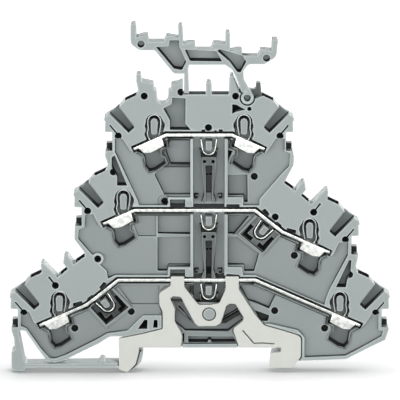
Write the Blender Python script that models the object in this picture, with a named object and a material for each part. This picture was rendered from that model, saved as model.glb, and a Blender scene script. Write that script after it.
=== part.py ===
"""Triple-deck rail-mounted terminal block with push-in cage clamps.

Sizes are in millimetres and become metres when a shape is made. X runs along the block, Z is up and
-Y is the open side. The origin is on the seat plane of the mounting rail, half way across the rail.
"""

import math

import bmesh
import bpy
from mathutils import Matrix

MM = 0.001
GAP = 0.3

HOUSING_WIDTH = 5.2
BACK_WALL = 1.0
RECESS_DEPTH = 1.4
POCKET_WALL = 2.0

BAR_THICKNESS = 0.75
BAR_WIDTH = 2.4
BAR_SLOPE = math.radians(24.0)
STEEP_SLOPE = math.radians(38.7)
CAGE_WALL = 0.6
PROUD = 0.02
CAGE_WINDOW_WIDTH = 1.6

SPRING_STRIP = 0.3
SPRING_WIDTH = 2.4
LEG_WIDTH = 1.0
LOOP_RADIUS = 1.6
JUMPER_STRIP = 0.3
JUMPER_WIDTH = 2.2
JUMPER_RADIUS = 1.6
JUMPER_REACH = 5.1

FOOT_SHEET = 1.0
STAKE_RADIUS = 1.45
RAIL_HALF_WIDTH = 17.5
RAIL_SHEET = 1.0

HINGE_PIN_RADIUS = 0.55
HINGE_RING_WALL = 0.75
CARRIER_WIDTH = 5.0
HOLE_RADIUS = 0.85

TOP_LEVEL = 53.9
MIDDLE_LEVEL = 34.8
BOTTOM_LEVEL = 17.0
COLUMN_X = -0.3

TOP_LEFT = (-13.8, 59.5)
TOP_RIGHT = (8.4, 59.5)
MIDDLE_LEFT = (-21.5, 40.5)
MIDDLE_RIGHT = (24.8, 33.2)
BOTTOM_LEFT = (-37.6, 14.5)
BOTTOM_RIGHT = (32.5, 14.5)
HINGE = (9.2, 63.5)
STAKE = (-0.2, 8.6)

FRONT = -HOUSING_WIDTH / 2
BACK = HOUSING_WIDTH / 2
RECESS_FLOOR = FRONT + RECESS_DEPTH
POCKET_FLOOR = BACK - POCKET_WALL
DEEP_FLOOR = BACK - BACK_WALL
BAR_BACK = DEEP_FLOOR - GAP
BAR_FRONT = BAR_BACK - BAR_WIDTH
BAR_MIDDLE = (BAR_FRONT + BAR_BACK) / 2
FOOT_BACK = RECESS_FLOOR - GAP
FOOT_FRONT = FOOT_BACK - FOOT_SHEET
RING_HOLE_RADIUS = HINGE_PIN_RADIUS + GAP
RING_RADIUS = RING_HOLE_RADIUS + HINGE_RING_WALL
CARRIER_FRONT = -CARRIER_WIDTH / 2
RING_BACK = -GAP
CORNER_STEPS = 3
PAST = 1.0

LEFT, RIGHT = 1, -1
UNITS = {
    "top_left": (TOP_LEFT, LEFT),
    "top_right": (TOP_RIGHT, RIGHT),
    "middle_left": (MIDDLE_LEFT, LEFT),
    "middle_right": (MIDDLE_RIGHT, RIGHT),
    "bottom_left": (BOTTOM_LEFT, LEFT),
    "bottom_right": (BOTTOM_RIGHT, RIGHT),
}
TILTED = {"middle_right": (MIDDLE_RIGHT, RIGHT), "bottom_left": (BOTTOM_LEFT, LEFT)}
LEVELS = {"top": TOP_LEVEL, "middle": MIDDLE_LEVEL, "bottom": BOTTOM_LEVEL}


def clear_scene():
    for old in list(bpy.data.objects):
        bpy.data.objects.remove(old)


def new_collection(name, hidden=False):
    group = bpy.data.collections.new(name)
    bpy.context.scene.collection.children.link(group)
    group.hide_render = hidden
    return group


def material(name, colour, roughness, metallic=0.0):
    finish = bpy.data.materials.new(name)
    finish.use_nodes = True
    shader = finish.node_tree.nodes["Principled BSDF"]
    shader.inputs["Base Color"].default_value = (*colour, 1.0)
    shader.inputs["Roughness"].default_value = roughness
    shader.inputs["Metallic"].default_value = metallic
    return finish


def rounded(corners):
    """A closed outline from (x, z) or (x, z, radius) corners, with an arc at each radius."""
    ring = []
    count = len(corners)
    for index, corner in enumerate(corners):
        if len(corner) == 2:
            ring.append(corner)
            continue
        x, z, radius = corner
        before = corners[index - 1]
        after = corners[(index + 1) % count]
        to_before = math.atan2(before[1] - z, before[0] - x)
        to_after = math.atan2(after[1] - z, after[0] - x)
        opening = (to_after - to_before + math.pi) % (2 * math.pi) - math.pi
        half = abs(opening) / 2
        shorter = min(math.dist(before[:2], (x, z)), math.dist(after[:2], (x, z)))
        reach = min(radius / math.tan(half), 0.49 * shorter)
        radius = reach * math.tan(half)
        middle = to_before + opening / 2
        distance = radius / math.sin(half)
        centre = (x + distance * math.cos(middle), z + distance * math.sin(middle))
        tangent = (x + reach * math.cos(to_before), z + reach * math.sin(to_before))
        start = math.atan2(tangent[1] - centre[1], tangent[0] - centre[0])
        sweep = (math.pi - abs(opening)) * (-1 if opening > 0 else 1)
        for step in range(CORNER_STEPS + 1):
            angle = start + sweep * step / CORNER_STEPS
            ring.append((centre[0] + radius * math.cos(angle), centre[1] + radius * math.sin(angle)))
    return ring


def arc(centre, radius, start, end, steps):
    """Points along an arc; the angles are in degrees."""
    points = []
    for step in range(steps + 1):
        angle = math.radians(start + (end - start) * step / steps)
        points.append((centre[0] + radius * math.cos(angle), centre[1] + radius * math.sin(angle)))
    return points


def circle(centre, radius, steps=16):
    return arc(centre, radius, 0, 360 * (steps - 1) / steps, steps - 1)


def placed(anchor, hand, shape):
    """A clamp-side outline, drawn for the left side, moved to its anchor and mirrored on the right."""
    return [(anchor[0] + hand * corner[0], anchor[1] + corner[1], *corner[2:]) for corner in shape]


def strip(path, thickness, shift=0.0):
    """The outline of a bent strip with this centre line, moved sideways by a shift."""
    sides = ([], [])
    for index, (x, z) in enumerate(path):
        before = path[max(index - 1, 0)]
        after = path[min(index + 1, len(path) - 1)]
        first = math.atan2(z - before[1], x - before[0]) if index else None
        second = math.atan2(after[1] - z, after[0] - x) if index < len(path) - 1 else first
        first = second if first is None else first
        bend = (second - first + math.pi) % (2 * math.pi) - math.pi
        normal = first + bend / 2 + math.pi / 2
        for side, reach in zip(sides, (shift + thickness / 2, shift - thickness / 2)):
            offset = reach / math.cos(bend / 2)
            side.append((x + offset * math.cos(normal), z + offset * math.sin(normal)))
    return sides[0] + sides[1][::-1]


def grown(corners, distance):
    """A closed outline moved outwards all round by a distance."""
    turn = 0.0
    for before, here in zip(corners, corners[1:] + corners[:1]):
        turn += before[0] * here[1] - here[0] * before[1]
    outwards = -math.copysign(distance, turn)
    ring = []
    for index, corner in enumerate(corners):
        before = corners[index - 1]
        after = corners[(index + 1) % len(corners)]
        first = math.atan2(corner[1] - before[1], corner[0] - before[0])
        second = math.atan2(after[1] - corner[1], after[0] - corner[0])
        bend = (second - first + math.pi) % (2 * math.pi) - math.pi
        offset = outwards / max(math.cos(bend / 2), 0.5)
        normal = first + bend / 2 + math.pi / 2
        x, z, *rest = corner
        ring.append((x + offset * math.cos(normal), z + offset * math.sin(normal), *rest))
    return ring


def plate(name, outline, front, back, group, holes=(), finish=None):
    """A flat piece: a filled 2D curve in the XZ plane, extruded from y = front to y = back."""
    curve = bpy.data.curves.new(name + "_outline", "CURVE")
    curve.dimensions = "2D"
    curve.fill_mode = "BOTH"
    curve.extrude = (back - front) / 2 * MM
    for ring in (outline, *holes):
        spline = curve.splines.new("POLY")
        spline.points.add(len(ring) - 1)
        for point, (x, z) in zip(spline.points, ring):
            point.co = (x * MM, z * MM, 0, 1)
        spline.use_cyclic_u = True
    guide = bpy.data.objects.new(name + "_outline", curve)
    mesh = bpy.data.meshes.new_from_object(guide)
    mesh.name = name
    middle = Matrix.Translation((0, (front + back) / 2 * MM, 0))
    mesh.transform(middle @ Matrix.Rotation(math.pi / 2, 4, "X"))
    bpy.data.objects.remove(guide)
    bpy.data.curves.remove(curve)
    work = bmesh.new()
    work.from_mesh(mesh)
    bmesh.ops.remove_doubles(work, verts=work.verts, dist=0.001 * MM)
    bmesh.ops.recalc_face_normals(work, faces=work.faces)
    work.to_mesh(mesh)
    work.free()
    piece = bpy.data.objects.new(name, mesh)
    group.objects.link(piece)
    if finish:
        mesh.materials.clear()
        mesh.materials.append(finish)
    if group.hide_render:
        piece.hide_render = True
        piece.display_type = "WIRE"
    return piece


def boolean(piece, operation, operand, solver="EXACT"):
    modifier = piece.modifiers.new(operation.lower(), "BOOLEAN")
    modifier.operation = operation
    modifier.solver = solver
    if isinstance(operand, bpy.types.Collection):
        modifier.operand_type = "COLLECTION"
        modifier.collection = operand
    else:
        modifier.object = operand


clear_scene()
bpy.context.scene.unit_settings.length_unit = "MILLIMETERS"
parts = new_collection("terminal_block")

grey_polyamide = material("grey_polyamide", (0.38, 0.42, 0.40), 0.55)
tinned_copper = material("tinned_copper", (0.88, 0.89, 0.87), 0.28, 1.0)
spring_steel = material("spring_steel", (0.66, 0.69, 0.66), 0.3, 1.0)
matt_tin = material("matt_tin", (0.72, 0.73, 0.69), 0.5, 0.6)

# Bus bars

CAGE_TIP = (-5.1, -9.2)
STEEP_KNEE = (6.75, -3.9)


def bar_end(unit, level):
    """The bar's centre line from its tip in a clamp up to its level, kinked where a jumper is tilted."""
    anchor, hand = UNITS[unit]
    tip, knee = placed(anchor, hand, [CAGE_TIP, STEEP_KNEE])
    if unit in TILTED:
        rise = level - knee[1]
        return [tip, knee, (knee[0] + hand * rise / math.tan(STEEP_SLOPE), level)]
    rise = level - tip[1]
    return [tip, (tip[0] + hand * rise / math.tan(BAR_SLOPE), level)]


def bar_path(deck):
    level = LEVELS[deck]
    return bar_end(deck + "_left", level) + bar_end(deck + "_right", level)[::-1]


CAGE_FLANGE = [(-3.9, -8.7), (-3.6, -9.4), (-2.5, -10.2), (-0.8, -10.0), (2.4, -8.3), (1.8, -6.2)]
CAGE_WINDOW = [(-2.3, -6.0), (-2.3, -9.0), (0.7, -9.0), (0.7, -6.0)]


def make_bar(deck):
    name = "busbar_" + deck
    bar = plate(name, strip(bar_path(deck), BAR_THICKNESS), BAR_FRONT, BAR_BACK, parts, finish=tinned_copper)
    cheeks = new_collection(name + "_cheeks", hidden=True)
    windows = new_collection(name + "_windows", hidden=True)
    for side in ("left", "right"):
        anchor, hand = UNITS[deck + "_" + side]
        flange = placed(anchor, hand, CAGE_FLANGE)
        window = placed(anchor, hand, CAGE_WINDOW)
        plate(name + side + "_front_cheek", flange, BAR_FRONT - PROUD, BAR_FRONT + CAGE_WALL, cheeks)
        plate(name + side + "_back_cheek", flange, BAR_BACK - CAGE_WALL, BAR_BACK + PROUD, cheeks)
        half = CAGE_WINDOW_WIDTH / 2
        plate(name + side + "_window", window, BAR_MIDDLE - half, BAR_MIDDLE + half, windows)
    boolean(bar, "UNION", cheeks)
    boolean(bar, "DIFFERENCE", windows)
    return bar


for deck_name in LEVELS:
    make_bar(deck_name)

# Clamp springs

LOOP_CENTRE = (0.0, -2.05)
SPRING_PATH = (
    [(LOOP_RADIUS - 0.45, -5.7), (LOOP_RADIUS - 0.18, -4.2), (LOOP_RADIUS, -3.1)]
    + arc(LOOP_CENTRE, LOOP_RADIUS, 0, 180, 10)
    + [(-LOOP_RADIUS, -2.9), (-1.48, -3.8), (-1.72, -4.9), (-1.7, -5.6), (-1.3, -6.6), (-0.9, -7.4)]
    + [(-0.3, -8.3), (0.3, -9.0)]
)
LEG_TOP = -6.2
LEG_END = -9.6


def make_spring(unit):
    anchor, hand = UNITS[unit]
    name = "clamp_spring_" + unit
    path = placed(anchor, hand, SPRING_PATH)
    front = BAR_MIDDLE - SPRING_WIDTH / 2
    back = BAR_MIDDLE + SPRING_WIDTH / 2
    spring = plate(name, strip(path, SPRING_STRIP), front, back, parts, finish=spring_steel)
    sides = new_collection(name + "_sides", hidden=True)
    beside_leg = placed(anchor, hand, [(-3.0, LEG_TOP), (-3.0, LEG_END), (1.4, LEG_END), (1.4, LEG_TOP)])
    plate(name + "_front_side", beside_leg, front - PAST, BAR_MIDDLE - LEG_WIDTH / 2, sides)
    plate(name + "_back_side", beside_leg, BAR_MIDDLE + LEG_WIDTH / 2, back + PAST, sides)
    boolean(spring, "DIFFERENCE", sides)
    return spring


for unit_name in UNITS:
    make_spring(unit_name)

# Jumper contact springs

U_TOP = -0.95
U_SPREAD = 0.35
U_CENTRE = -(JUMPER_REACH - JUMPER_RADIUS - JUMPER_STRIP / 2)


def jumper_outline():
    """A U that opens towards the bar; the bar's centre line is at zero."""
    path = [(-JUMPER_RADIUS - U_SPREAD, U_TOP)]
    path += arc((0, U_CENTRE), JUMPER_RADIUS, 180, 360, 10)
    path += [(JUMPER_RADIUS + U_SPREAD, U_TOP)]
    return strip(path, JUMPER_STRIP)


def turned(origin, angle, shape):
    """An outline turned by an angle and moved to an origin."""
    cosine, sine = math.cos(angle), math.sin(angle)
    corners = []
    for x, z, *rest in shape:
        corners.append((origin[0] + x * cosine - z * sine, origin[1] + x * sine + z * cosine, *rest))
    return corners


JUMPER_ALONG = 4.1


def jumper_place(unit):
    """Where a tilted jumper's axis meets the bar, and the angle of the bar there."""
    anchor, hand = TILTED[unit]
    knee = placed(anchor, hand, [STEEP_KNEE])[0]
    reach = JUMPER_ALONG
    origin = (knee[0] + hand * reach * math.cos(STEEP_SLOPE), knee[1] + reach * math.sin(STEEP_SLOPE))
    return origin, hand * STEEP_SLOPE


def make_jumper(name, origin, angle):
    front = BAR_MIDDLE - JUMPER_WIDTH / 2
    back = BAR_MIDDLE + JUMPER_WIDTH / 2
    return plate(name, turned(origin, angle, jumper_outline()), front, back, parts, finish=tinned_copper)


for deck_name, deck_level in LEVELS.items():
    make_jumper("jumper_spring_" + deck_name, (COLUMN_X, deck_level), 0.0)
for unit_name in TILTED:
    make_jumper("jumper_spring_" + unit_name, *jumper_place(unit_name))

# Rail foot

RAIL_SLOT = RAIL_HALF_WIDTH + GAP
SEAT = 0.0
SEAT_RELIEF = 0.12
SEAT_HALF = 7.6
HOOK_TOP = SEAT - RAIL_SHEET - GAP / 2
TAB_TOP = BOTTOM_LEVEL + 1.3
FOOT_OUTLINE = [
    (-7.2, SEAT), (-6.95, 2.8), (-7.3, 4.1, 0.8), (-8.8, 6.7, 0.8), (-8.8, 10.0, 1.0), (-9.95, 12.6, 0.4),
    (-9.2, 13.2, 0.4), (-7.3, 13.1, 0.8), (-3.7, 6.2), (-2.9, 5.5, 0.5), (1.3, 5.55, 0.6), (2.6, 6.2),
    (4.1, 10.8, 0.6), (5.0, 11.3), (6.4, 11.2, 0.6), (8.5, 7.7, 0.6), (8.2, 6.8, 0.5), (6.0, 5.0, 0.5),
    (5.95, 4.1), (7.3, SEAT), (RAIL_SLOT, SEAT), (RAIL_SLOT, HOOK_TOP, 0.3), (15.3, -1.4, 0.3),
    (15.0, -2.8), (15.0, -5.2, 0.4), (20.6, -5.3, 1.2), (22.8, -2.4, 1.4), (22.8, 2.9, 1.4), (18.1, 4.4, 1.0),
    (13.6, 5.7, 1.0), (11.2, 8.6, 1.0), (9.4, 11.4, 1.0), (7.2, 15.0, 1.0), (7.2, TAB_TOP, 0.3),
    (3.8, TAB_TOP, 0.3), (4.0, 15.2, 1.0), (2.4, 11.4, 1.0), (0.0, 11.0, 1.0), (-2.9, 11.0, 1.0),
    (-6.4, 15.6, 1.0), (-6.4, TAB_TOP, 0.3), (-9.8, TAB_TOP, 0.3), (-9.8, 15.9, 0.6), (-12.7, 14.0, 1.2),
    (-12.6, 11.0, 1.2), (-11.8, 9.2), (-11.8, 4.8, 0.4), (-17.4, 3.4), (-22.8, 2.3, 0.2), (-22.8, -5.7, 0.4),
    (-20.7, -6.4, 0.6), (-18.6, -4.3, 1.5), (-RAIL_SLOT, -1.2), (-RAIL_SLOT, SEAT),
]
FOOT_SLIT = [(8.2, 4.4), (11.0, 1.1), (12.9, 1.2), (16.2, 0.95)]
SLIT_WIDTH = 0.3

stake_hole = circle(STAKE, STAKE_RADIUS + GAP, 20)
slit = strip(FOOT_SLIT, SLIT_WIDTH)
foot_rings = [stake_hole, slit]
plate("rail_foot", rounded(FOOT_OUTLINE), FOOT_FRONT, FOOT_BACK, parts, foot_rings, matt_tin)

# Marker carrier

CARRIER_TOP = 82.0
CARRIER_OUTLINE = [
    (-17.4, 75.4, 1.6), (-13.6, 75.4, 0.6), (-9.2, 69.9, 0.8), (-8.6, 69.6), (-6.4, 69.6), (-6.4, 64.75),
    (-5.2, 64.75), (-5.35, 70.4), (-5.2, 71.8), (3.7, 71.8, 0.8), (5.4, 70.6), (6.2, 69.1), (6.9, 67.2),
    (7.8, 64.9), (10.5, 64.6), (9.3, 66.2), (8.3, 68.4, 1.0), (8.2, 70.3, 1.0), (9.5, 71.9, 0.8),
    (13.4, 71.9, 2.0), (16.4, 73.8, 2.0), (16.7, 78.1, 0.3), (15.2, 78.1, 0.3), (15.1, 75.3),
    (12.4, 75.6, 0.3), (11.8, 74.0), (7.9, 74.0), (7.9, 75.6, 0.3), (6.4, 75.6), (4.95, 75.2),
    (4.9, 79.9, 0.4), (3.8, 79.9, 0.4), (3.75, 77.0), (0.8, 77.3, 0.3), (0.1, 75.6), (-3.6, 75.6),
    (-3.6, 77.3, 0.3), (-5.2, 77.3), (-6.6, 77.0), (-6.75, 81.7, 0.4), (-7.9, 81.7, 0.4), (-7.8, 78.5),
    (-10.8, 79.1, 0.3), (-11.3, 77.6), (-15.1, 77.6), (-15.15, 79.2, 0.3), (-16.4, 79.2), (-18.1, 78.6),
    (-18.15, CARRIER_TOP, 0.5), (-19.6, CARRIER_TOP, 0.5), (-19.6, 77.0, 1.5),
]
CARRIER_POCKETS = [
    [
        (-13.2, 76.2), (-8.9, 70.9), (-6.9, 70.5, 0.6), (-5.9, 72.6), (-7.6, 76.4), (-7.7, 77.9),
        (-9.9, 77.9), (-10.2, 76.4),
    ],
    [(-6.2, 75.6), (-4.9, 72.8), (2.9, 72.7), (1.5, 75.2)],
    [(1.8, 75.3), (4.9, 72.5), (6.8, 70.0), (7.5, 70.0), (8.9, 72.7), (7.9, 74.1), (5.0, 75.0), (2.4, 75.7)],
]
CARRIER_HOLES = [(-17.0, 77.0), (13.9, 73.5)]
LEG_TOP_Z = 69.3
CARRIER_WEB = 1.0
CARRIER_HOLE_DEPTH = 2.5

CARRIER_BACK = -CARRIER_FRONT
carrier = plate(
    "marker_carrier", rounded(CARRIER_OUTLINE), CARRIER_FRONT, CARRIER_BACK, parts, finish=grey_polyamide
)
rings = new_collection("carrier_ring", hidden=True)
plate("ring", circle(HINGE, RING_RADIUS, 24), CARRIER_FRONT, RING_BACK, rings)
carrier_cuts = new_collection("carrier_cuts", hidden=True)
for number, pocket in enumerate(CARRIER_POCKETS):
    floor = CARRIER_BACK - CARRIER_WEB
    plate(f"carrier_pocket_{number}", rounded(pocket), CARRIER_FRONT - PAST, floor, carrier_cuts)
for number, centre in enumerate(CARRIER_HOLES):
    depth = CARRIER_FRONT + CARRIER_HOLE_DEPTH
    plate(f"carrier_hole_{number}", circle(centre, HOLE_RADIUS), CARRIER_FRONT - PAST, depth, carrier_cuts)
behind_leg = [(5.5, 61.0), (12.0, 61.0), (12.0, LEG_TOP_Z), (5.5, LEG_TOP_Z)]
plate("behind_leg", behind_leg, RING_BACK, BACK + PAST, carrier_cuts)
plate("ring_hole", circle(HINGE, RING_HOLE_RADIUS, 20), CARRIER_FRONT - PAST, BACK + PAST, carrier_cuts)
boolean(carrier, "UNION", rings)
boolean(carrier, "DIFFERENCE", carrier_cuts)
hinge_axis = bpy.data.objects.new("carrier_hinge_axis", None)
hinge_axis.location = (HINGE[0] * MM, 0, HINGE[1] * MM)
parts.objects.link(hinge_axis)
carrier.parent = hinge_axis
carrier.matrix_parent_inverse = Matrix.Translation(-hinge_axis.location)

# Housing outline

WIRE_SIDE = [
    (-4.3, 4.7), (-7.3, 3.3, 0.6), (-8.6, 1.7), (-10.2, 0.5), (-12.3, -0.8, 0.5), (-12.4, -1.6),
    (-12.1, -1.9), (-12.2, -4.5, 0.3), (-10.4, -4.6), (-10.4, -9.2), (-12.1, -9.3, 0.2),
]
MARKER_SLOTS = [
    (6.45, 8.9), (3.65, 6.9), (2.9, 8.0), (2.2, 9.0, 0.5), (1.3, 9.2, 0.5), (1.0, 7.2, 0.6), (2.2, 5.7),
    (-0.4, 3.5), (-2.1, 5.3), (-3.9, 7.2, 0.3), (-4.6, 7.1, 0.3),
]
RAIL_HOOK = [
    (RAIL_SLOT, SEAT + SEAT_RELIEF), (RAIL_SLOT, HOOK_TOP, 0.3), (15.5, -1.4), (15.2, -2.8),
    (15.2, -4.9, 0.4), (20.6, -4.9, 1.0), (22.5, -3.4),
]


def left_side(unit, shape):
    return placed(*UNITS[unit], shape)


def right_side(unit, shape):
    return placed(*UNITS[unit], shape)[::-1]


ARM_END = -49.7
HOUSING_OUTLINE = (
    [
        (-RAIL_SLOT, SEAT + SEAT_RELIEF), (-SEAT_HALF - 0.2, SEAT + SEAT_RELIEF), (-SEAT_HALF, SEAT),
        (SEAT_HALF, SEAT), (SEAT_HALF + 0.2, SEAT + SEAT_RELIEF),
    ]
    + RAIL_HOOK
    + [(34.2, -2.95, 2.0), (40.0, 0.1), (43.9, 2.0, 0.8)]
    + [(44.75, 4.8)] + right_side("bottom_right", WIRE_SIDE)
    + [(36.3, 20.7), (36.75, 22.8)] + right_side("middle_right", WIRE_SIDE)
    + right_side("middle_right", MARKER_SLOTS)
    + [(20.7, 46.6, 0.5), (20.8, 48.8)] + right_side("top_right", WIRE_SIDE)
    + [
        (12.5, 67.0, 0.3), (11.4, 67.0, 0.3), (11.3, 65.4), (10.6, 65.2), (9.2, 65.4), (7.2, 65.4),
        (6.7, 66.7), (5.7, 69.1, 0.3), (5.0, 69.3, 0.3), (4.75, 67.5), (4.7, 64.4), (0.4, 64.4),
        (0.4, 67.4, 0.5), (-1.0, 67.4, 0.5), (-1.0, 64.4), (-6.7, 64.4), (-6.75, 67.7), (-8.2, 67.1),
        (-9.6, 66.9, 0.4), (-9.7, 65.4), (-10.3, 65.2, 0.3), (-10.4, 62.0, 1.5), (-13.1, 62.0, 1.5),
        (-13.2, 65.2, 0.3), (-13.8, 65.5), (-13.9, 67.1, 0.4), (-16.9, 67.7), (-17.0, 69.4, 0.3),
        (-18.2, 69.4, 0.3), (-18.2, 67.6), (-17.7, 65.2),
    ]
    + left_side("top_left", WIRE_SIDE) + [(-26.0, 49.0), (-25.1, 46.2)]
    + left_side("middle_left", WIRE_SIDE) + [(-33.7, 27.8, 0.5), (-31.3, 24.5)]
    + left_side("bottom_left", MARKER_SLOTS) + left_side("bottom_left", WIRE_SIDE)
    + [
        (-49.6, 4.2), (-49.0, 2.4), (-48.9, -0.6), (ARM_END, -1.2, 0.3), (ARM_END, -6.0, 0.8),
        (-46.5, -6.0, 0.3), (-46.2, -5.1), (-22.4, -5.1), (-21.0, -6.1, 0.6), (-19.4, -5.9, 0.6),
        (-17.2, -3.6, 1.0), (-16.6, HOOK_TOP, 0.3), (-RAIL_SLOT, HOOK_TOP),
    ]
)
ARM_WINDOW = [
    (-47.9, 4.5, 0.5), (-46.2, 4.4, 1.0), (-42.4, -1.3), (-40.6, -3.6, 1.2), (-38.7, -3.9, 1.0),
    (-36.4, -3.2, 1.5), (-28.0, 1.0), (-25.0, 2.9, 2.0), (-21.9, 2.9, 0.4), (-21.9, -3.9), (-26.2, -3.9),
    (-26.4, -3.1, 0.4), (-27.5, -3.1, 0.4), (-27.7, -3.9), (-28.0, -4.0), (-45.9, -4.2, 0.5),
    (-46.5, -3.3),
]

housing = plate(
    "housing", rounded(HOUSING_OUTLINE), FRONT, BACK, parts, [rounded(ARM_WINDOW)], grey_polyamide
)

# Housing floors: the recess round the bars, the pockets beside the column and the deep cavities

SLOT_ABOVE = 0.85
SLOT_BELOW = GAP
SLOT_RIB = 0.45
SLOT_TOP = BAR_THICKNESS / 2 + SLOT_ABOVE
SLOT_BOTTOM = BAR_THICKNESS / 2 + SLOT_BELOW
RIB_TOP = SLOT_TOP + SLOT_RIB
FRAME_TOP = 3.7
COLUMN_LEFT = -4.9
COLUMN_RIGHT = 4.4
BAY_LEFT = -4.15
BAY_RIGHT = 3.6
BOSS = (-27.95, 22.8)
BOSS_RADIUS = 1.55

UNDER_TOP = TOP_LEVEL - SLOT_BOTTOM
UNDER_MIDDLE = MIDDLE_LEVEL - SLOT_BOTTOM
UNDER_BOTTOM = BOTTOM_LEVEL - SLOT_BOTTOM
OVER_MIDDLE = MIDDLE_LEVEL + RIB_TOP
OVER_BOTTOM = BOTTOM_LEVEL + RIB_TOP

RECESSES = {
    "top_left": [
        (-23.5, 53.3), (-23.5, 50.0), (-17.9, 37.6), (-17.6, OVER_MIDDLE), (-10.6, OVER_MIDDLE),
        (-10.4, MIDDLE_LEVEL + FRAME_TOP), (COLUMN_LEFT, MIDDLE_LEVEL + FRAME_TOP), (COLUMN_LEFT, UNDER_TOP),
        (-10.3, UNDER_TOP), (-18.7, 49.4), (-20.1, 50.6), (-21.7, 53.3),
    ],
    "top_right": [
        (COLUMN_RIGHT, MIDDLE_LEVEL + FRAME_TOP), (8.2, MIDDLE_LEVEL + FRAME_TOP), (8.3, OVER_MIDDLE),
        (12.2, OVER_MIDDLE), (12.3, 38.0), (17.3, 43.9), (19.6, 46.4, 0.4), (19.9, 49.6, 0.4), (18.4, 50.2),
        (18.4, 53.3), (16.3, 53.3), (14.6, 50.5), (13.3, 49.4), (4.9, UNDER_TOP), (COLUMN_RIGHT, UNDER_TOP),
    ],
    "middle_left": (
        [(-29.0, 34.1), (-31.1, 34.1), (-31.1, 30.9), (-32.6, 30.2), (-32.8, 28.0), (-29.6, 24.1)]
        + arc(BOSS, BOSS_RADIUS, 142, -68, 6)
        + [
            (-25.7, 19.6), (-25.4, 17.8), (-23.6, OVER_BOTTOM), (-10.5, OVER_BOTTOM),
            (-10.4, BOTTOM_LEVEL + FRAME_TOP), (COLUMN_LEFT, BOTTOM_LEVEL + FRAME_TOP),
            (COLUMN_LEFT, UNDER_MIDDLE), (-18.4, UNDER_MIDDLE), (-26.4, 30.4), (-27.9, 31.5),
        ]
    ),
    "middle_right": [
        (COLUMN_RIGHT, BOTTOM_LEVEL + FRAME_TOP), (8.0, BOTTOM_LEVEL + FRAME_TOP), (8.3, OVER_BOTTOM),
        (11.3, OVER_BOTTOM), (28.6, 11.0), (28.9, 12.4), (29.8, 14.9), (34.3, 23.8), (34.4, 27.0),
        (32.2, 27.0), (30.9, 24.2), (29.8, 23.1), (18.0, 28.5), (11.1, UNDER_MIDDLE),
        (COLUMN_RIGHT, UNDER_MIDDLE),
    ],
    "lower": [
        (-47.2, 8.6), (-47.3, 5.6, 0.5), (-45.9, 5.0, 1.0), (-42.3, -0.2), (-40.2, -2.7, 1.5),
        (-38.5, -2.8, 1.5), (-36.0, -1.8), (-28.2, 2.2), (-25.6, 3.7, 1.5), (-20.6, 4.4, 0.8),
        (-16.7, 8.3, 0.6), (-11.5, 8.3), (-11.5, 4.6), (-6.7, 3.2), (-6.7, 0.95), (7.0, 0.95), (6.4, 3.6),
        (11.9, 3.0), (12.9, 6.1), (14.9, 6.2), (18.6, 5.3), (22.0, 4.5, 1.0), (23.7, 2.6, 1.2),
        (23.7, -2.5), (34.0, -2.1, 2.0), (37.5, -0.2), (42.9, 2.9, 0.6), (43.3, 4.3), (42.1, 4.6),
        (42.1, 8.8), (40.5, 8.8), (38.9, 6.2), (37.4, 4.6), (10.9, UNDER_BOTTOM), (-22.6, UNDER_BOTTOM),
        (-30.6, 9.8), (-42.4, 4.6), (-44.1, 6.6), (-45.3, 9.3),
    ],
}
POCKETS = {
    "above_top_left": [
        (-9.9, TOP_LEVEL + RIB_TOP), (-9.9, 57.8), (-11.5, 60.9), (-9.4, 62.0), (-9.3, 63.6), (-6.1, 63.4),
        (-6.1, 57.2), (COLUMN_LEFT, TOP_LEVEL + RIB_TOP),
    ],
    "under_top_left": [(-9.8, 46.7), (-10.9, 50.0), (-9.8, 52.6), (-4.9, 52.6), (-4.9, 46.7)],
    "over_middle_left": [(-11.4, 38.9), (-13.8, 44.0), (-12.4, 45.8), (-4.9, 45.8), (-4.9, 38.9)],
    "under_middle_left": [(-13.0, 28.9), (-13.0, 33.6), (-4.9, 33.6), (-4.9, 28.9)],
    "over_bottom_left": [
        (-13.0, 19.5), (-13.0, 28.0), (-4.9, 28.0), (-4.9, 20.9), (-10.3, 20.9), (-10.7, 19.5),
    ],
    "over_middle_right": [(4.5, 38.7), (4.5, 43.9), (9.2, 44.0), (9.3, 37.0), (8.5, 37.0), (8.3, 38.7)],
    "under_middle_right": [(4.5, 28.9), (4.5, 33.6), (9.9, 33.6), (6.1, 28.9)],
    "over_bottom_right": [
        (4.5, 21.0), (4.5, 28.2), (6.6, 28.2), (12.2, 23.8), (11.0, 19.4), (8.6, 19.4), (8.4, 20.9),
    ],
    "under_bottom_right": [(7.3, 15.9), (9.5, 11.8), (11.3, 11.3), (14.8, 9.8), (16.4, 13.3), (11.1, 15.8)],
    "beside_foot": [(11.1, 9.4), (14.8, 8.0), (14.6, 6.5), (12.6, 6.5)],
    "behind_foot": [
        (-8.8, 9.2), (-8.8, 6.2), (-6.2, 4.0), (4.6, 4.0), (8.3, 6.8), (7.7, 8.4), (3.9, 6.0), (-4.2, 6.0),
        (-8.1, 9.7),
    ],
    "wall_top_left": [
        (-24.3, 48.6), (-24.3, 46.0), (-23.0, 43.6), (-23.0, 41.5), (-20.6, 41.5), (-23.6, 49.0),
    ],
    "wall_bottom_right": [(31.5, 15.6), (33.9, 15.6), (34.2, 17.4), (35.0, 18.6), (35.2, 22.4), (34.7, 22.5)],
    "leg_left_open": [(-10.0, 11.6), (-4.9, 11.6), (-4.9, 15.8), (-10.0, 15.8)],
    "leg_right_open": [(3.2, 7.1), (7.2, 9.5), (6.4, 11.0), (4.5, 11.0)],
}
SHALLOW_POCKETS = {
    "under_middle_left": [(-17.9, 28.3), (-18.9, 31.0), (-17.7, 33.6), (-13.4, 33.6), (-13.4, 28.3)],
    "under_bottom_left": [(-23.0, 15.2), (-19.6, 10.9), (-12.7, 10.9), (-12.7, 15.8), (-22.4, 15.8)],
}
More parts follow.
